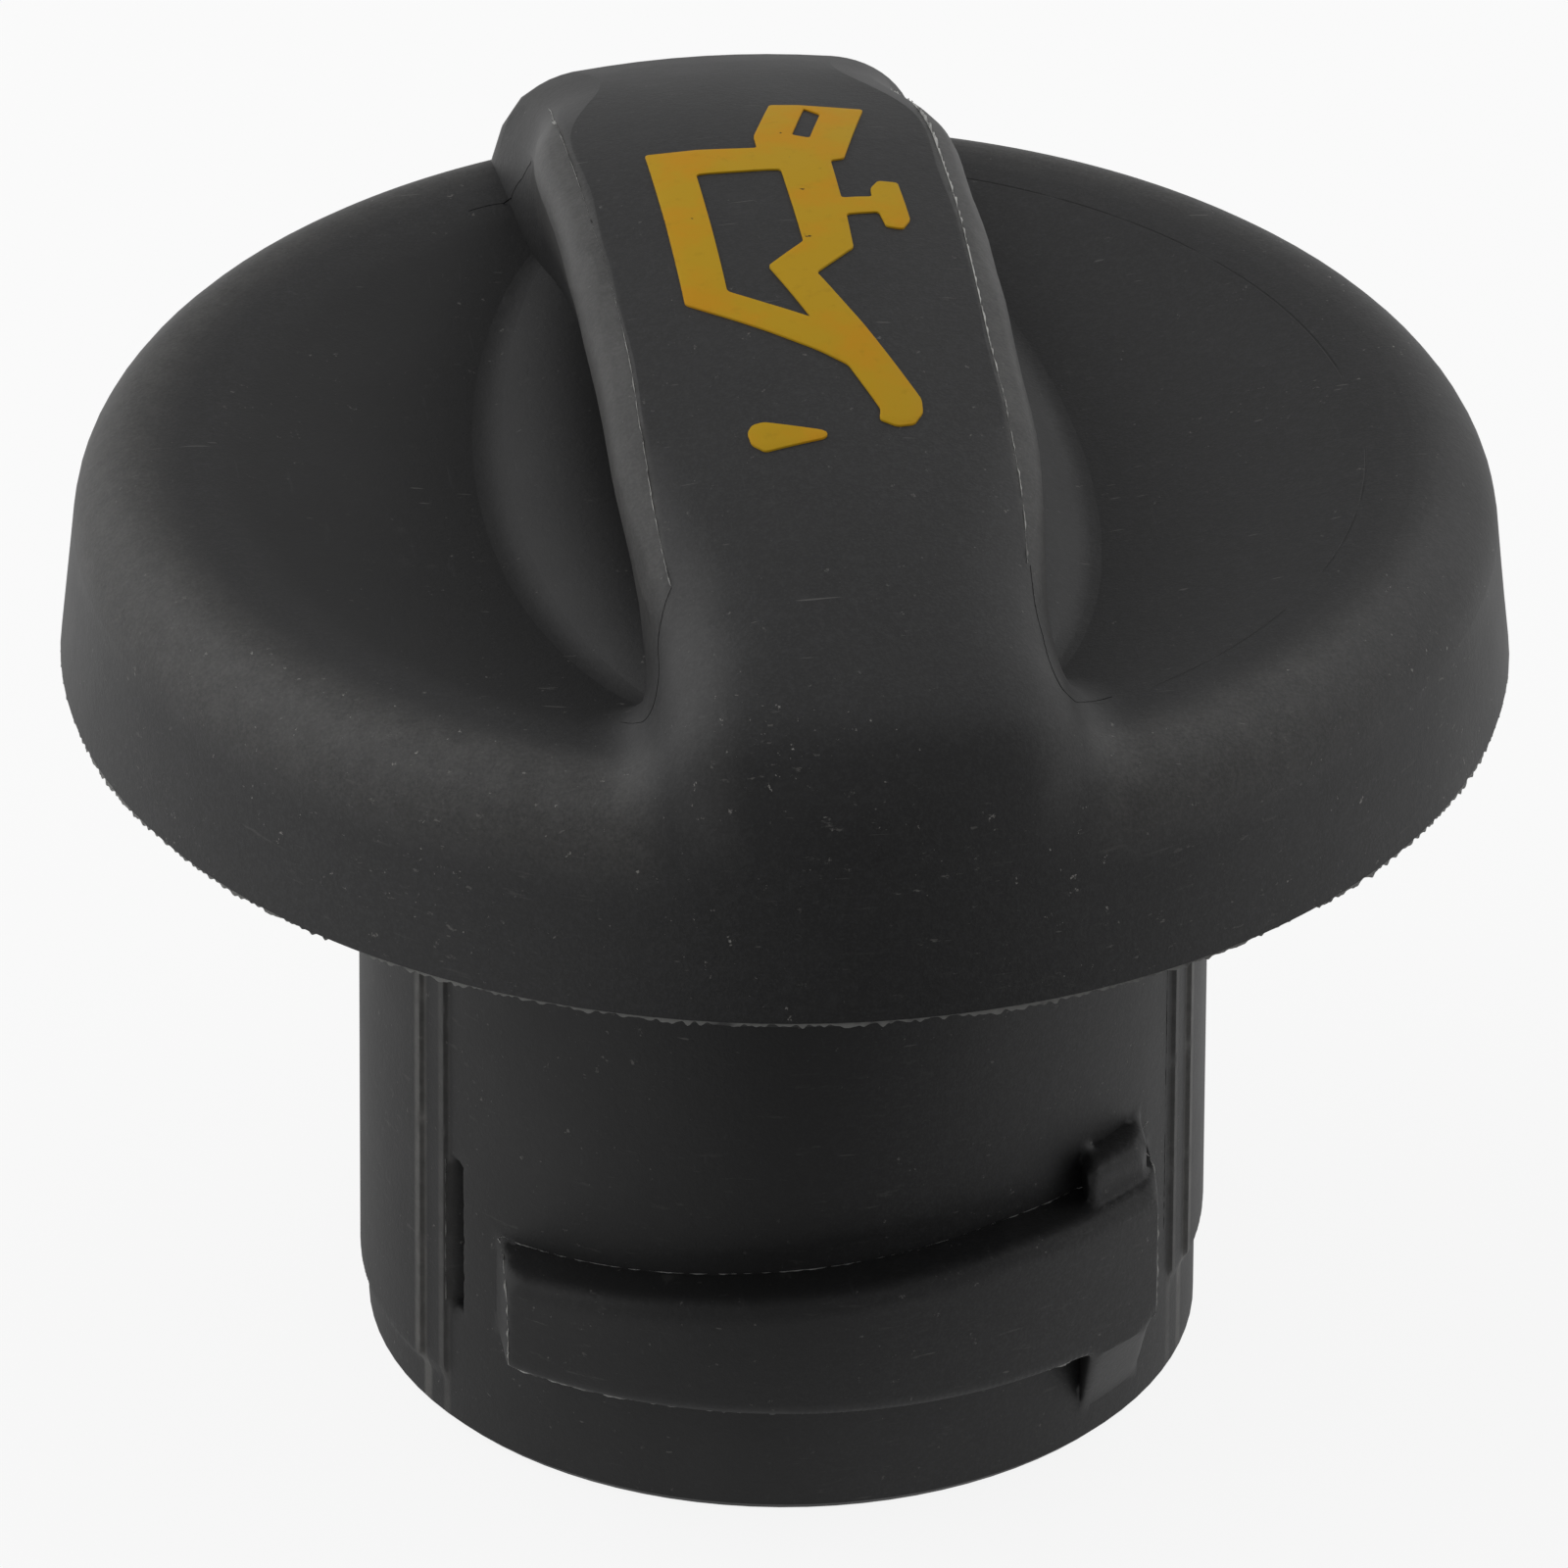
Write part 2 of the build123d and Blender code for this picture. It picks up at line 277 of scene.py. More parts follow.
class CapBlendSettings(PropertyGroup):
    """Sizes of the soft blend where the grip's front end runs out into the rim, and of the spigot's edges."""

    reach: FloatProperty(
        name="Reach", description="How far the blend reaches from the crease", unit="LENGTH",
        default=0.0036, precision=5,
    )
    pitch: FloatProperty(
        name="Pitch", description="Longest edge of the blended mesh", unit="LENGTH",
        default=0.0005, precision=5,
    )
    passes: IntProperty(
        name="Passes", description="Rounds of relaxing", default=80, min=0, max=400,
    )
    even_passes: IntProperty(
        name="Even passes", description="Rounds of evening out the blend's shading",
        default=12, min=0, max=100,
    )
    edge_reach: FloatProperty(
        name="Edge reach", description="How far the softening reaches from the spigot's sharp edges",
        unit="LENGTH", default=0.0008, precision=5,
    )
    edge_pitch: FloatProperty(
        name="Edge pitch", description="Longest edge of the mesh beside the spigot's sharp edges",
        unit="LENGTH", default=0.00044, precision=6,
    )
    edge_passes: IntProperty(
        name="Edge passes", description="Rounds of relaxing beside the spigot's sharp edges",
        default=6, min=0, max=100,
    )
    crest_share: FloatProperty(
        name="Crest share", description="Strength of the relaxing on the grip's end rounds", subtype="FACTOR",
        default=0.5, min=0, max=1,
    )


class CapStageSettings(PropertyGroup):
    """Camera and light of the studio."""

    azimuth: FloatProperty(
        name="Azimuth", description="Camera's turn round the cap", subtype="ANGLE",
        default=radians(-7.8),
    )
    elevation: FloatProperty(
        name="Elevation", description="Camera's height over the floor", subtype="ANGLE",
        default=radians(31.2),
    )
    roll: FloatProperty(
        name="Roll", description="Camera's turn about its own line of sight", subtype="ANGLE",
        default=radians(0.34),
    )
    distance: FloatProperty(
        name="Distance", description="Camera's distance from the cap", unit="LENGTH", default=1.2,
    )
    aim_height: FloatProperty(
        name="Aim height", description="Height that the camera looks at", unit="LENGTH", default=0.0273,
    )
    view_width: FloatProperty(
        name="View width", description="Width seen at the aimed point", unit="LENGTH",
        default=0.07167,
    )
    side_level: FloatProperty(
        name="Side boxes", description="Brightness of the soft boxes at the sides, where 1 is white",
        default=1.0, min=0,
    )
    roof_level: FloatProperty(
        name="Roof boxes", description="Brightness of the soft boxes overhead, where 1 is white",
        default=1.1, min=0,
    )
    right_share: FloatProperty(
        name="Right boxes", description="Brightness of the boxes on the right beside those on the left",
        subtype="FACTOR", default=0.65, min=0, max=1,
    )
    room_level: FloatProperty(
        name="Room", description="Brightness of the room behind the lamps, where 1 is white",
        default=0.3, min=0,
    )


class CapSettings(PropertyGroup):
    """All settings of the filler cap."""

    finish: PointerProperty(type=CapFinishSettings)
    sign: PointerProperty(type=CapSignSettings)
    flash: PointerProperty(type=CapFlashSettings)
    blend: PointerProperty(type=CapBlendSettings)
    stage: PointerProperty(type=CapStageSettings)


class Wire:
    """A shader socket that adds a Math node for each step of an expression."""

    def __init__(self, finish, socket):
        self.finish = finish
        self.socket = socket

    def math(self, operation, *terms):
        return self.finish.node("ShaderNodeMath", {"operation": operation}, dict(enumerate(terms)))

    def __add__(self, other):
        return self.math("ADD", self, other)

    def __radd__(self, other):
        return self.math("ADD", other, self)

    def __sub__(self, other):
        return self.math("SUBTRACT", self, other)

    def __rsub__(self, other):
        return self.math("SUBTRACT", other, self)

    def __mul__(self, other):
        return self.math("MULTIPLY", self, other)

    def __rmul__(self, other):
        return self.math("MULTIPLY", other, self)

    def __pow__(self, other):
        return self.math("POWER", self, other)

    def __abs__(self):
        return self.math("ABSOLUTE", self)

    def step(self, low, high):
        """Smooth rise from 0 at low to 1 at high, or a fall where low is the larger."""
        if low > high:
            return 1 - self.step(high, low)
        settings = {"interpolation_type": "SMOOTHSTEP", "clamp": True}
        sockets = {"Value": self, "From Min": low, "From Max": high}
        return self.finish.node("ShaderNodeMapRange", settings, sockets)


class Finish:
    """A procedural material under construction."""

    def __init__(self, name):
        self.material = bpy.data.materials.new(name)
        self.material.use_nodes = True
        self.tree = self.material.node_tree
        self.tree.nodes.clear()
        self.place = self.node("ShaderNodeTexCoord", out="Object")

    def node(self, kind, settings=None, sockets=None, out=0):
        """Adds a node, with its settings first and then its sockets' values or links."""
        made = self.tree.nodes.new(kind)
        for key, value in (settings or {}).items():
            setattr(made, key, value)
        for key, value in (sockets or {}).items():
            socket = made.inputs[key]
            if isinstance(value, Wire):
                self.tree.links.new(value.socket, socket)
            else:
                socket.default_value = value
        return Wire(self, made.outputs[out])

    def noise(self, scale, detail=2.0, roughness=0.5, place=None):
        """Value noise from 0 to 1 at so many features a metre."""
        sockets = {
            "Vector": place or self.place, "Scale": scale, "Detail": detail, "Roughness": roughness,
        }
        return self.node("ShaderNodeTexNoise", None, sockets)

    def stretched(self, scale, turn):
        """Object coordinates turned and stretched."""
        sockets = {"Vector": self.place, "Rotation": turn, "Scale": scale}
        return self.node("ShaderNodeMapping", {"vector_type": "POINT"}, sockets)

    def split(self, vector):
        """The three parts of a vector or colour."""
        made = self.node("ShaderNodeSeparateXYZ", None, {0: vector})
        return [Wire(self, socket) for socket in made.socket.node.outputs]

    def blend(self, share, first, second):
        """Colour between two colours by a share."""
        tint = {"data_type": "RGBA", "blend_type": "MIX", "clamp_factor": True}
        first = first if isinstance(first, Wire) else (*first, 1)
        second = second if isinstance(second, Wire) else (*second, 1)
        return self.node("ShaderNodeMix", tint, {0: share, 6: first, 7: second}, out=2)

    def surface(self, colour, roughness, height=None, depth=0.0, **constants):
        """Closes the material with a principled surface, bumped by a height."""
        sockets = {"Base Color": colour, "Roughness": roughness, **constants}
        if height is not None:
            bump = {"Height": height, "Distance": depth, "Strength": 1.0}
            sockets["Normal"] = self.node("ShaderNodeBump", None, bump)
        shader = self.node("ShaderNodeBsdfPrincipled", None, sockets)
        self.node_output(shader)
        return self.material

    def node_output(self, shader):
        """Joins a shader to the material's output."""
        output = self.tree.nodes.new("ShaderNodeOutputMaterial")
        self.tree.links.new(shader.socket, output.inputs["Surface"])


def shaded(colour, share):
    """A colour made lighter or darker by a share."""
    return tuple(part * share for part in colour)


def moulded_nylon(look):
    """Matte black glass-filled nylon with grain, a worn rim, scuffs, dust and the mould's witness circle, with
    painted shade on the dish left of the grip and painted highlights on the grip's sides and the pads' edges.
    """
    finish = Finish("moulded_nylon")
    across, along, height = finish.split(finish.place)
    radius = (across * across + along * along) ** 0.5
    turn = across.math("ARCTAN2", across, 0 - along)

    cloud = finish.noise(140, 4.0, 0.55)
    mottle = finish.noise(900, 3.0, 0.6)
    pebble = finish.noise(2600, 2.0, 0.6)
    grain = finish.noise(7000, 2.0, 0.65)
    nylon = look.nylon_colour
    tone = finish.blend(cloud.step(0.3, 0.7), shaded(nylon, 0.85), shaded(nylon, 1.1))
    tone = finish.blend(mottle.step(0.45, 0.8) * 0.4, tone, shaded(nylon, 1.6))
    tone = finish.blend(pebble.step(0.45, 0.75) * 0.5, tone, shaded(nylon, 2.2))
    tone = finish.blend(grain.step(0.42, 0.78) * 0.7, tone, shaded(nylon, 2.4))

    # Painted shade on the dish floor left of the grip
    left_dish_shade = radius.step(*DISH_RADIUS) * height.step(*DISH_HEIGHT) * across.step(*DISH_LEFT)
    tone = finish.blend(left_dish_shade * 0.75, tone, shaded(nylon, 0.45))

    # Fibres that lie at the surface as short pale hairs
    short = finish.stretched((3600, 300, 1200), (0.3, 0.2, 0.5))
    fibre = finish.noise(1, 2.0, 0.5, short).step(0.68, 0.76)
    thin = finish.stretched((260, 4200, 4200), (0.4, 0.9, 0.35))
    hair = finish.noise(1, 1.0, 0.5, thin).step(0.76, 0.81)

    # Worn grey rim, least on its right and none on the grip, and painted highlights on the grip's side bands
    # and on the sides of its ends
    worn = radius.step(*RIM_RADIUS) * height.step(*RIM_HEIGHT) * abs(across).step(*RIM_BESIDE_GRIP)
    worn = worn * across.step(*RIM_LEFT)
    band_highlight = abs(across).step(*BAND_ACROSS) * height.step(*BAND_HEIGHT) * abs(along).step(*BAND_ALONG)
    side = abs(across - TIP_MIDDLE)
    tip_highlight = side.step(*TIP_INNER) * side.step(*TIP_OUTER) * height.step(*TIP_HEIGHT)
    tip_highlight = tip_highlight * abs(along).step(*TIP_ALONG)
    wear_and_highlight = finish.noise(5200, 4.0, 0.7).step(0.3, 0.72) * 0.5 + mottle.step(0.3, 0.75) * 0.3 + 0.4
    wear_and_highlight = wear_and_highlight * (worn.math("MAXIMUM", worn, tip_highlight * 0.35) + band_highlight)

    # Streaks round the skirt and spigot
    wrap = finish.node("ShaderNodeCombineXYZ", None, {0: turn * 11, 1: radius * 250, 2: height * 3000})
    streak = finish.noise(1, 4.0, 0.68, wrap).step(0.60, 0.74) * finish.noise(90, 2.0).step(0.38, 0.62)
    streak = streak * radius.step(*STREAK_RADIUS) * height.step(*STREAK_HEIGHT)

    # Irregular dust specks and scuffs, most on the rim and the skirt
    skirt = radius.step(*SKIRT_RADIUS) * height.step(*SKIRT_HEIGHT)
    fleck = finish.noise(2000, 4.0, 0.72).step(0.66, 0.71) * finish.noise(120, 2.0).step(0.36, 0.60)
    fleck = fleck * (skirt * 0.6 + 0.4)
    rubbed = finish.stretched((900, 1500, 2600), (0.1, 0.4, 0.6))
    scuff = finish.noise(1, 4.0, 0.7, rubbed).step(0.63, 0.71)
    scuff = scuff * finish.noise(75, 2.0).step(0.47, 0.61) * (skirt * 0.85 + 0.15)

    # Painted highlights along the pads' edges: pale lines where their rounded edges catch the light
    pad_highlight = abs(abs(along) - PAD_EDGE_INNER).step(*PAD_HIGHLIGHT_WIDE)
    pad_highlight = pad_highlight + abs(abs(along) - PAD_EDGE_OUTER).step(*PAD_HIGHLIGHT_FINE) * 0.5
    pad_highlight = pad_highlight * abs(across).step(*PAD_ACROSS) * height.step(*PAD_HEIGHT)
    pad_highlight = pad_highlight * (mottle.step(0.3, 0.7) * 0.4 + 0.6)

    # Broken witness circle of the mould's insert, in the rim's top on the right
    dashes = finish.noise(170, 2.0).step(0.42, 0.5)
    circle = abs(radius - CIRCLE_RADIUS).step(*CIRCLE_WIDTH) * dashes * across.step(*CIRCLE_RIGHT)
    circle = circle * height.step(*CIRCLE_LOW) * height.step(*CIRCLE_HIGH)

    pale = shaded(look.speck_colour, 0.6)
    colour = finish.blend(fibre * 0.3, tone, shaded(nylon, 2.6))
    # Worn rim and painted highlights on the grip's sides, drawn pale with the speck colour
    colour = finish.blend(wear_and_highlight * 0.115, colour, look.speck_colour)
    # Painted highlight lines on the pads' edges
    colour = finish.blend(pad_highlight * 0.24, colour, look.speck_colour)
    colour = finish.blend(streak * 0.16, colour, pale)
    colour = finish.blend(hair * 0.3, colour, pale)
    colour = finish.blend(scuff * 0.5, colour, pale)
    colour = finish.blend(fleck * 0.75, colour, look.speck_colour)
    colour = finish.blend(circle * 0.85, colour, shaded(nylon, 0.15))
    roughness = look.nylon_roughness + (cloud - 0.5) * 0.16 + fleck * 0.2 + scuff * 0.15 + left_dish_shade * 0.06
    relief = grain * 0.8 + pebble * 0.9 + mottle * 0.7 + fleck * 0.8 - hair * 0.5 - circle * 3
    return finish.surface(colour, roughness, relief, look.grain_height, **{"Specular IOR Level": 0.5})


def seal_rubber(look):
    """Matt black rubber with a fine bloom."""
    finish = Finish("seal_rubber")
    bloom = finish.noise(260, 4.0, 0.6)
    grain = finish.noise(4200, 2.0, 0.6)
    bloomed = shaded(look.rubber_colour, 1.9)
    colour = finish.blend(bloom.step(0.4, 0.75) * 0.5, look.rubber_colour, bloomed)
    roughness = 0.62 + (bloom - 0.5) * 0.2
    return finish.surface(colour, roughness, grain, 0.000008)


def sign_paint(look, nylon_colour):
    """Yellow paint rolled on the raised sign, thin and chipped in places."""
    finish = Finish("sign_paint")
    wash = finish.noise(240, 4.0, 0.6)
    speckle = finish.noise(1500, 3.0, 0.6)
    red, green, blue = look.paint_colour
    orange = (red * 1.18, green * 0.86, blue * 0.8)
    colour = finish.blend(wash.step(0.42, 0.68) * 0.6, look.paint_colour, orange)
    colour = finish.blend(speckle.step(0.55, 0.8) * 0.35, colour, shaded(look.paint_colour, 0.72))
    chip = finish.noise(900, 4.0, 0.65).step(0.70, 0.735)
    colour = finish.blend(chip, colour, shaded(nylon_colour, 1.4))
    roughness = 0.55 + (wash - 0.5) * 0.2 + chip * 0.1
    relief = speckle * 0.5 + wash * 0.4 - chip * 1.5
    return finish.surface(colour, roughness, relief, 0.00001, **{"Specular IOR Level": 0.12})


def whitened_flash(name, pale, nylon_colour):
    """Thin flash, stressed pale where it is thinnest."""
    finish = Finish(name)
    patch = finish.noise(700, 3.0, 0.6)
    colour = finish.blend(patch.step(0.22, 0.5), shaded(nylon_colour, 4.0), pale)
    roughness = 0.5 + (patch - 0.5) * 0.2
    return finish.surface(colour, roughness, finish.noise(5000, 2.0), 0.000008)


def witness_gap_and_shadow(nylon_colour):
    """Dark hairline gap where the mould's insert met the rest of the mould, and painted shadow along the step
    at the right pad's edge.
    """
    finish = Finish("witness_gap_and_shadow")
    patch = finish.noise(900, 2.0, 0.6)
    colour = finish.blend(patch, shaded(nylon_colour, 0.1), shaded(nylon_colour, 0.45))
    return finish.surface(colour, 0.8 + (patch - 0.5) * 0.1)


def studio_paper():
    """White paper sweep that shows plain white and keeps a faint contact shadow."""
    finish = Finish("studio_paper")
    paths = finish.node("ShaderNodeLightPath").socket.node.outputs
    seen = Wire(finish, paths["Is Camera Ray"]) + Wire(finish, paths["Is Transmission Ray"])
    seen = seen.step(0.0, 1.0) * PAPER_SEEN + Wire(finish, paths["Is Glossy Ray"]) * PAPER_MIRRORED
    paper = finish.node("ShaderNodeBsdfDiffuse", None, {"Color": (0.86, 0.86, 0.86, 1)})
    white = finish.node("ShaderNodeEmission", None, {"Color": (1, 1, 1, 1), "Strength": 1.0})
    finish.node_output(finish.node("ShaderNodeMixShader", None, {0: seen, 1: paper, 2: white}))
    return finish.material


def dark_paper():
    """Black card that keeps the white floor out of the cap's front."""
    finish = Finish("dark_paper")
    fleck = finish.noise(400, 3.0, 0.6)
    return finish.surface(finish.blend(fleck, (0.012, 0.012, 0.012), (0.02, 0.02, 0.02)), 0.9)


def flat_sheet(name, across, along, height, material):
    """A level sheet of the stage, between two places across and two along."""
    bm = bmesh.new()
    bmesh.ops.create_grid(bm, x_segments=1, y_segments=1, size=0.5)
    span = Vector((across[1] - across[0], along[1] - along[0], 1))
    bmesh.ops.scale(bm, verts=bm.verts[:], vec=span)
    bmesh.ops.translate(bm, verts=bm.verts[:], vec=(sum(across) / 2, sum(along) / 2, height))
    mesh = bpy.data.meshes.new(name)
    bm.to_mesh(mesh)
    bm.free()
    mesh.materials.append(material)
    sheet = bpy.data.objects.new(name, mesh)
    bpy.context.scene.collection.objects.link(sheet)
    return sheet


def surface_tree(body):
    """Search tree of a body's faces."""
    return BVHTree.FromObject(body, bpy.context.evaluated_depsgraph_get())


def rise(value, low, high):
    """Smooth rise from 0 at low to 1 at high, or a fall where low is the larger."""
    share = min(1.0, max(0.0, (value - low) / (high - low)))
    return share * share * (3 - 2 * share)


def at_grip_end(edge):
    """Whether an edge touches the room round the grip's front end."""
    first, second = (vert.co for vert in edge.verts)
    along, height = max(-first.y, -second.y) / MM, max(first.z, second.z) / MM
    low_end = along > END_ALONG and height > END_HEIGHT
    crown = along > CROWN_ALONG and height > CROWN_HEIGHT
    return min(abs(first.x), abs(second.x)) < END_ACROSS * MM and (low_end or crown)


def beside_spigot_edge(nearest, reach, edge):
    """Whether an edge touches the strip beside the spigot's sharp edges."""
    first, second = (vert.co for vert in edge.verts)
    if min(first.z, second.z) > SOFT_TOP * MM:
        return False
    return any(nearest.find(place)[2] < reach for place in (first, second, (first + second) / 2))


def refine(bm, near, pitch):
    """Splits the long edges that lie near a place."""
    for _ in range(8):
        coarse = [edge for edge in bm.edges if edge.calc_length() > pitch and near(edge)]
        bmesh.ops.subdivide_edges(bm, edges=coarse, cuts=1)
        bmesh.ops.triangulate(bm, faces=[face for face in bm.faces if len(face.verts) > 3])


def search_tree(points):
    """Search tree of points."""
    nearest = KDTree(len(points))
    for number, point in enumerate(points):
        nearest.insert(point, number)
    nearest.balance()
    return nearest


def nearness(nearest, place, reach):
    """Smooth fall from 1 at the nearest point of a search tree to 0 at its reach."""
    return max(0.0, 1 - (nearest.find(place)[2] / reach) ** 2) ** 2


def is_crease(edge):
    """Whether an edge is a hollow crease at the grip's front end."""
    if edge.verts[0].co.z < CREASE_HEIGHT * MM or not at_grip_end(edge):
        return False
    return not edge.is_convex and edge.calc_face_angle() > CREASE_ANGLE


def blend_shares(bm, look):
    """How strongly each vertex at the grip's front end is relaxed: most in its creases, some on its crest."""
    nearest = search_tree([edge.verts[0].co for edge in bm.edges if is_crease(edge)])
    shares = {}
    for vert in bm.verts:
        across, along, height = abs(vert.co.x) / MM, -vert.co.y / MM, vert.co.z / MM
        if along > CROWN_ALONG and height > BLEND_HEIGHT and across < BLEND_ACROSS:
            hollow = nearness(nearest, vert.co, look.reach) * rise(along, *HOLLOW_ALONG)
            crest = rise(along, *CREST_ALONG) * rise(height, *CREST_HEIGHT)
            crown = rise(along, *CROWN_RISE_ALONG) * rise(height, *CROWN_RISE_HEIGHT)
            crown *= rise(vert.normal.z, *CROWN_RISE_FACING)
            crest = look.crest_share * max(crest, crown) * rise(across, *CREST_ACROSS)
            if max(hollow, crest) > LEAST_SHARE:
                shares[vert] = max(hollow, crest)
    return shares


def spigot_edges(bm):
    """Search tree of points along the sharp outer edges of the spigot's pads, lugs, stops and slots."""
    points = []
    for edge in bm.edges:
        first, second = (vert.co for vert in edge.verts)
        outside = min(hypot(first.x, first.y), hypot(second.x, second.y)) > SPIGOT_OUTSIDE * MM
        above_foot = min(first.z, second.z) > SPIGOT_HEIGHTS[0] * MM
        below_seal = max(first.z, second.z) < SPIGOT_HEIGHTS[1] * MM
        if outside and above_foot and below_seal and edge.is_convex and edge.calc_face_angle() > EDGE_ANGLE:
            count = ceil(edge.calc_length() / (EDGE_STEP * MM))
            points += [first.lerp(second, step / count) for step in range(count + 1)]
    return search_tree(points)


def edge_shares(bm, nearest, reach):
    """How strongly each vertex beside the spigot's sharp edges is relaxed."""
    shares = {}
    for vert in bm.verts:
        if vert.co.z < SOFT_TOP * MM:
            share = nearness(nearest, vert.co, reach)
            if share > LEAST_SHARE:
                shares[vert] = share
    return shares


def relax(shares, passes):
    """Draws each vertex toward the middle of its neighbours by its share."""
    for _ in range(passes):
        middles = {}
        for vert in shares:
            around = [edge.other_vert(vert).co for edge in vert.link_edges]
            middles[vert] = sum(around, Vector()) / len(around)
        for vert, middle in middles.items():
            vert.co = vert.co.lerp(middle, 0.5 * shares[vert])


def evened_normals(shares, passes):
    """Vertex normals of a relaxed blend, evened out among neighbours to leave no hard border."""
    normals = {vert: vert.normal.copy() for vert in shares}
    for _ in range(passes):
        evened = {}
        for vert, own in normals.items():
            others = [edge.other_vert(vert) for edge in vert.link_edges]
            around = sum((normals.get(other, other.normal) for other in others), Vector())
            evened[vert] = own.lerp(around.normalized(), min(1.0, EVENING * shares[vert])).normalized()
        normals = evened
    return normals


def shading_normals(bm, own, weights, source):
    """Corner normals: those of the CAD mesh, and the blends' own where they were relaxed."""
    tree = surface_tree(source)
    mesh = source.data
    normals = []
    for face in bm.faces:
        middle = face.calc_center_median()
        for vert in face.verts:
            number = tree.find_nearest(vert.co.lerp(middle, 0.02))[2]
            corners = mesh.polygons[number].loop_indices
            points = [mesh.vertices[mesh.loops[corner].vertex_index].co for corner in corners]
            given = [mesh.corner_normals[corner].vector for corner in corners]
            normal = barycentric_transform(vert.co, *points, *given)
            relaxed = own.get(vert, vert.normal)
            normals.append(normal.normalized().lerp(relaxed, weights.get(vert, 0.0)).normalized())
    return normals


def piece_from(bm, name, material):
    """Turns a finished bmesh into a piece of the cap that rides on its body."""
    bmesh.ops.recalc_face_normals(bm, faces=bm.faces[:])
    mesh = bpy.data.meshes.new(name)
    bm.to_mesh(mesh)
    bm.free()
    if not mesh.polygons:
        raise RuntimeError(name + " has no faces")
    mesh.materials.append(material)
    mesh.polygons.foreach_set("use_smooth", [True] * len(mesh.polygons))
    mesh.set_sharp_from_angle(angle=SMOOTH_ANGLE)
    piece = bpy.data.objects.new(name, mesh)
    bpy.context.scene.collection.objects.link(piece)
    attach(piece, "root")
    return piece


def ragged(place, rags):
    """Uneven strength of a flash line at a place, from 0 to about 1."""
    slow = noise.noise(place * 180 + Vector((3.1, 7.7, 1.3)))
    quick = noise.noise(place * rags)
    return max(0.0, 0.4 + 0.6 * slow + 0.8 * quick)


def smooth_chain(bm, guide):
    """Adds a smooth chain of edges along guide points given in millimetres."""
    curve = bpy.data.curves.new("guide", "CURVE")
    curve.dimensions = "3D"
    spline = curve.splines.new("NURBS")
    spline.points.add(len(guide) - 1)
    for point, place in zip(spline.points, guide):
        point.co = (*(part * MM for part in place), 1)
    spline.use_endpoint_u = True
    spline.order_u = 3
    spline.resolution_u = 150
    carrier = bpy.data.objects.new("guide", curve)
    mesh = bpy.data.meshes.new_from_object(carrier)
    bm.from_mesh(mesh)
    bpy.data.meshes.remove(mesh)
    bpy.data.objects.remove(carrier)
    bpy.data.curves.remove(curve)


def extruded(bm, edges):
    """Extrudes edges and gives the new vertices."""
    made = bmesh.ops.extrude_edge_only(bm, edges=edges)
    return [item for item in made["geom"] if isinstance(item, bmesh.types.BMVert)]


def raise_fin(bm, tree, height, width, even):
    """Lays the chain on the body and raises a fin on it, of a height and a width, ragged or more even."""
    for vert in bm.verts:
        vert.co = tree.find_nearest(vert.co)[0]
    crest = extruded(bm, bm.edges[:])
    for vert in bm.verts:
        place, outward, _, _ = tree.find_nearest(vert.co)
        vert.co = place - outward * FIN_SINK
    for vert in crest:
        place, outward, _, _ = tree.find_nearest(vert.co)
        strength = even + (1 - even) * ragged(place, FIN_RAGS)
        vert.co = place + outward * (height * strength - 0.15 * height)
    bmesh.ops.solidify(bm, geom=bm.faces[:], thickness=width)


def hang_burr(bm, look):
    """Hangs a ragged burr from the skirt's lower edge."""
    bmesh.ops.create_circle(bm, cap_ends=False, segments=BURR_SEGMENTS, radius=body_high[0] - BURR_INSET)
    bmesh.ops.translate(bm, verts=bm.verts[:], vec=(0, 0, SKIRT_LOW + BURR_OVERLAP))
    for vert in extruded(bm, bm.edges[:]):
        outward = Vector((vert.co.x, vert.co.y, 0)).normalized()
        depth = look.burr_depth * min(1.0, 0.7 * ragged(vert.co, BURR_RAGS)) + BURR_LEAST
        vert.co += outward * depth * 0.3 - Vector((0, 0, depth))
    bmesh.ops.solidify(bm, geom=bm.faces[:], thickness=look.line_width * 0.7)


def sign_outline(bm, corners, corner_round):
    """Adds a rounded outline in plan."""
    face = bm.faces.new([bm.verts.new((x * MM, y * MM, 0)) for x, y in corners])
    bmesh.ops.bevel(
        bm, geom=face.verts[:], offset=corner_round, offset_type="OFFSET", segments=4,
        profile=0.5, affect="VERTICES", clamp_overlap=True, material=-1,
    )


def sign_plate(bm, outlines, look):
    """Raised plate inside the outlines, with a rounded upper edge, cut into strips to be laid over the grip's
    crown.
    """
    for corners in outlines:
        sign_outline(bm, corners, look.corner_round)
    bmesh.ops.delete(bm, geom=bm.faces[:], context="FACES_ONLY")
    bmesh.ops.triangle_fill(bm, edges=bm.edges[:], use_beauty=True, use_dissolve=True)
    made = bmesh.ops.extrude_face_region(bm, geom=bm.faces[:])
    upper = [item for item in made["geom"] if isinstance(item, bmesh.types.BMVert)]
    bmesh.ops.translate(bm, verts=upper, vec=(0, 0, look.height))
    upper = set(upper)
    upper_edges = [edge for edge in bm.edges if upper.issuperset(edge.verts)]
    upper_rim = [edge for edge in upper_edges if abs(sum(face.normal.z for face in edge.link_faces)) < 1.5]
    bmesh.ops.recalc_face_normals(bm, faces=bm.faces[:])
    bmesh.ops.bevel(
        bm, geom=upper_rim, offset=look.edge_round, offset_type="OFFSET", segments=3,
        profile=0.5, affect="EDGES", clamp_overlap=True, material=-1,
    )
    for axis in (Vector((1, 0, 0)), Vector((0, 1, 0))):
        reach = [vert.co.dot(axis) for vert in bm.verts]
        place = min(reach) + SIGN_PITCH
        while place < max(reach):
            everything = bm.verts[:] + bm.edges[:] + bm.faces[:]
            bmesh.ops.bisect_plane(bm, geom=everything, plane_co=axis * place, plane_no=axis)
            place += SIGN_PITCH


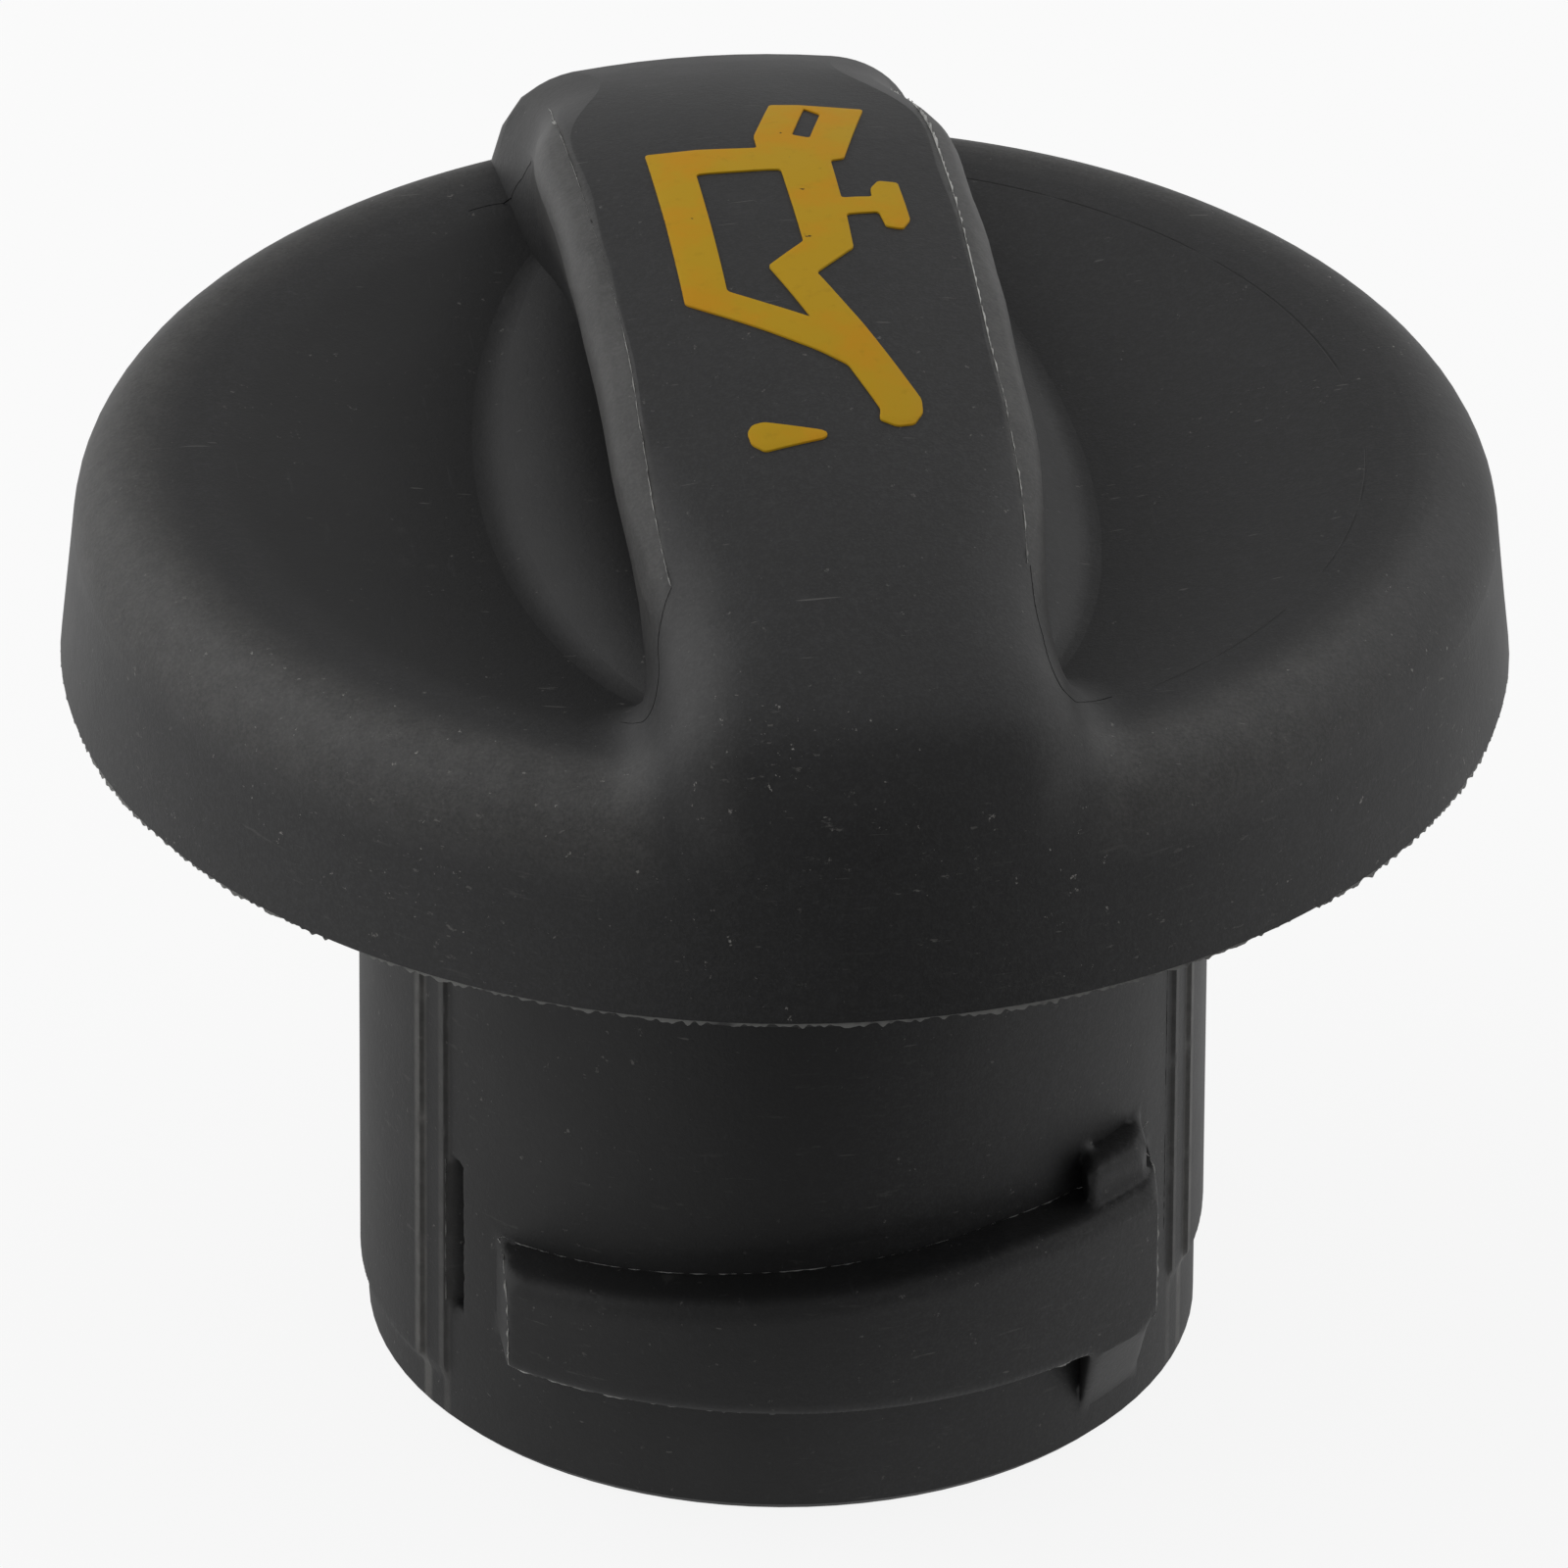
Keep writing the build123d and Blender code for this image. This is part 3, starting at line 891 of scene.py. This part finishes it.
class FILLERCAP_OT_body(Operator):
    """Builds the moulded body with its soft blends and edges, and gives it and the seal their finishes"""

    bl_idname = "fillercap.body"
    bl_label = "Body and Seal"

    def execute(self, context):
        settings = context.scene.filler_cap
        look = settings.blend
        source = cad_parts["cap_body"]
        bm = bmesh.new()
        bm.from_mesh(source.data)
        bmesh.ops.remove_doubles(bm, verts=bm.verts[:], dist=MERGE_DISTANCE)

        # All refining comes first, because it drops the vertices that shares are kept for
        refine(bm, at_grip_end, look.pitch)
        nearest = spigot_edges(bm)
        refine(bm, partial(beside_spigot_edge, nearest, look.edge_reach), look.edge_pitch)
        blended = blend_shares(bm, look)
        relax(blended, look.passes)
        softened = edge_shares(bm, nearest, look.edge_reach)
        relax(softened, look.edge_passes)

        bm.normal_update()
        evened = evened_normals(blended, look.even_passes)
        weights = {vert: min(1.0, BLEND_SHADING * share) for vert, share in blended.items()}
        weights.update({vert: min(1.0, EDGE_SHADING * share) for vert, share in softened.items()})
        normals = shading_normals(bm, evened, weights, source)
        body = piece_from(bm, BODY_NAME, moulded_nylon(settings.finish))
        body.data.normals_split_custom_set(normals)
        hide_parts("cap_body")
        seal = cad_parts["seal_ring"].data
        seal.materials.clear()
        seal.materials.append(seal_rubber(settings.finish))
        return {"FINISHED"}


class FILLERCAP_OT_sign(Operator):
    """Builds the raised oil can sign and its drop on the grip"""

    bl_idname = "fillercap.sign"
    bl_label = "Oil Sign"

    def execute(self, context):
        settings = context.scene.filler_cap
        paint = sign_paint(settings.sign, settings.finish.nylon_colour)
        tree = surface_tree(bpy.data.objects[BODY_NAME])
        for name, outlines in (
            ("sign_oil_can", (CAN_OUTLINE, CAN_HOLLOW, LID_HOLLOW)),
            ("sign_oil_drop", (DROP_OUTLINE,)),
        ):
            bm = bmesh.new()
            sign_plate(bm, outlines, settings.sign)
            for vert in bm.verts:
                above = Vector((vert.co.x, vert.co.y, body_high[2] + 0.01))
                crown = tree.ray_cast(above, Vector((0, 0, -1)))[0]
                if crown is None:
                    raise RuntimeError("the sign reaches past the grip")
                vert.co.z += crown.z - SIGN_SINK
            piece_from(bm, name, paint)
        return {"FINISHED"}


class FILLERCAP_OT_flash(Operator):
    """Builds the thin flash lines and burrs that the mould leaves"""

    bl_idname = "fillercap.flash"
    bl_label = "Moulding Flash"

    def execute(self, context):
        settings = context.scene.filler_cap
        look = settings.flash
        pale = whitened_flash("whitened_flash", look.flash_colour, settings.finish.nylon_colour)
        tree = surface_tree(bpy.data.objects[BODY_NAME])
        mirrored = tuple((-x, y, z) for x, y, z in GRIP_PARTING)
        for name, guide, height_share, width_share, even in (
            ("grip_parting_right", GRIP_PARTING, 1.0, 1.0, 0.2),
            ("grip_parting_left", mirrored, 1.0, 1.0, 0.2),
            ("lug_crease_flash", LUG_CREASE, 0.6, 0.7, 0.0),
            ("lug_entry_flash", LUG_ENTRY, 0.7, 0.7, 0.0),
            ("lug_lower_flash", LUG_LOWER, 0.4, 0.6, 0.0),
            ("lug_lock_flash", LUG_LOCK, 0.5, 0.7, 0.0),
            ("slot_edge_flash", SLOT_EDGE, 0.7, 0.7, 0.0),
        ):
            bm = bmesh.new()
            smooth_chain(bm, guide)
            raise_fin(bm, tree, look.line_height * height_share, look.line_width * width_share, even)
            piece_from(bm, name, pale)

        bm = bmesh.new()
        hang_burr(bm, look)
        dull = whitened_flash("skirt_burr", look.burr_colour, settings.finish.nylon_colour)
        piece_from(bm, "skirt_burr", dull)
        return {"FINISHED"}


class FILLERCAP_OT_witness(Operator):
    """Builds the dark hairlines where the mould's insert met the mould, and a painted shadow line at the right
    pad's step
    """

    bl_idname = "fillercap.witness"
    bl_label = "Witness Lines"

    def execute(self, context):
        settings = context.scene.filler_cap
        dark = witness_gap_and_shadow(settings.finish.nylon_colour)
        tree = surface_tree(bpy.data.objects[BODY_NAME])
        for name, guide, even in (
            ("insert_corner_front", INSERT_CORNER_FRONT, 0.8),
            ("insert_corner_back", INSERT_CORNER_BACK, 0.8),
            ("insert_corner_lock", INSERT_CORNER_LOCK, 0.8),
            # Painted shadow line along the step at the right pad's edge
            ("pad_gap_right", PAD_STEP_SHADOW_RIGHT, 0.0),
        ):
            bm = bmesh.new()
            smooth_chain(bm, guide)
            raise_fin(bm, tree, GAP_HEIGHT, GAP_WIDTH, even)
            piece_from(bm, name, dark)
        return {"FINISHED"}


class FILLERCAP_OT_stage(Operator):
    """Sets up the paper floor, the soft lamps and the camera"""

    bl_idname = "fillercap.stage"
    bl_label = "Studio Stage"

    def execute(self, context):
        scene = context.scene
        look = scene.filler_cap.stage
        scene.view_settings.view_transform = "Standard"

        flat_sheet("studio_floor", FLOOR_REACH, FLOOR_REACH, 0.0, studio_paper())
        card = flat_sheet("dark_card", CARD_ACROSS, CARD_ALONG, CARD_HEIGHT, dark_paper())
        card.visible_camera = False

        world = bpy.data.worlds.new("studio_room")
        world.use_nodes = True
        background = world.node_tree.nodes["Background"]
        background.inputs["Color"].default_value = (1, 1, 1, 1)
        background.inputs["Strength"].default_value = look.room_level
        scene.world = world

        aim = Vector((0, 0, look.aim_height))
        for side in (-1, 1):
            for name, place, size, level in (
                ("side_box", SIDE_BOX_PLACE, SIDE_BOX_SIZE, look.side_level),
                ("roof_box", ROOF_BOX_PLACE, ROOF_BOX_SIZE, look.roof_level),
            ):
                lamp = bpy.data.lights.new(name, "AREA")
                lamp.shape = "RECTANGLE"
                lamp.size, lamp.size_y = size
                share = look.right_share if side > 0 else 1.0
                lamp.energy = share * level * pi * size[0] * size[1]
                holder = bpy.data.objects.new(name, lamp)
                holder.location = (side * place[0], place[1], place[2])
                holder.rotation_euler = (aim - holder.location).to_track_quat("-Z", "Y").to_euler()
                scene.collection.objects.link(holder)

        turn, tilt = look.azimuth, look.elevation
        away = Vector((sin(turn) * cos(tilt), -cos(turn) * cos(tilt), sin(tilt)))
        camera = bpy.data.cameras.new("studio_camera")
        camera.sensor_width = 36
        camera.angle = 2 * atan(look.view_width / 2 / look.distance)
        camera.clip_start = 0.1
        camera.clip_end = 20
        holder = bpy.data.objects.new("studio_camera", camera)
        facing = (-away).to_track_quat("-Z", "Y").to_matrix() @ Matrix.Rotation(look.roll, 3, "Z")
        holder.matrix_world = Matrix.Translation(aim + away * look.distance) @ facing.to_4x4()
        scene.collection.objects.link(holder)
        scene.camera = holder
        return {"FINISHED"}


class FILLERCAP_PT_tools(Panel):
    """Lists the cap's pieces and their settings"""

    bl_label = "Filler Cap"
    bl_idname = "FILLERCAP_PT_tools"
    bl_space_type = "VIEW_3D"
    bl_region_type = "UI"
    bl_category = "Filler Cap"

    def draw(self, context):
        settings = context.scene.filler_cap
        for group, operators in (
            (settings.finish, ()),
            (settings.blend, (FILLERCAP_OT_body,)),
            (settings.sign, (FILLERCAP_OT_sign,)),
            (settings.flash, (FILLERCAP_OT_flash, FILLERCAP_OT_witness)),
            (settings.stage, (FILLERCAP_OT_stage,)),
        ):
            box = self.layout.box()
            for name in group.__annotations__:
                box.prop(group, name)
            for operator in operators:
                box.operator(operator.bl_idname)


CLASSES = (
    CapFinishSettings,
    CapSignSettings,
    CapFlashSettings,
    CapBlendSettings,
    CapStageSettings,
    CapSettings,
    FILLERCAP_OT_body,
    FILLERCAP_OT_sign,
    FILLERCAP_OT_flash,
    FILLERCAP_OT_witness,
    FILLERCAP_OT_stage,
    FILLERCAP_PT_tools,
)


def register():
    """Registers the classes and hangs the settings on the scene."""
    for cls in CLASSES:
        bpy.utils.register_class(cls)
    bpy.types.Scene.filler_cap = PointerProperty(type=CapSettings)


def unregister():
    """Takes the settings and the classes away again."""
    del bpy.types.Scene.filler_cap
    for cls in reversed(CLASSES):
        bpy.utils.unregister_class(cls)


def main():
    """Builds the whole scene."""
    register()
    bpy.ops.fillercap.body()
    bpy.ops.fillercap.sign()
    bpy.ops.fillercap.flash()
    bpy.ops.fillercap.witness()
    bpy.ops.fillercap.stage()


if __name__ == "__main__":
    main()
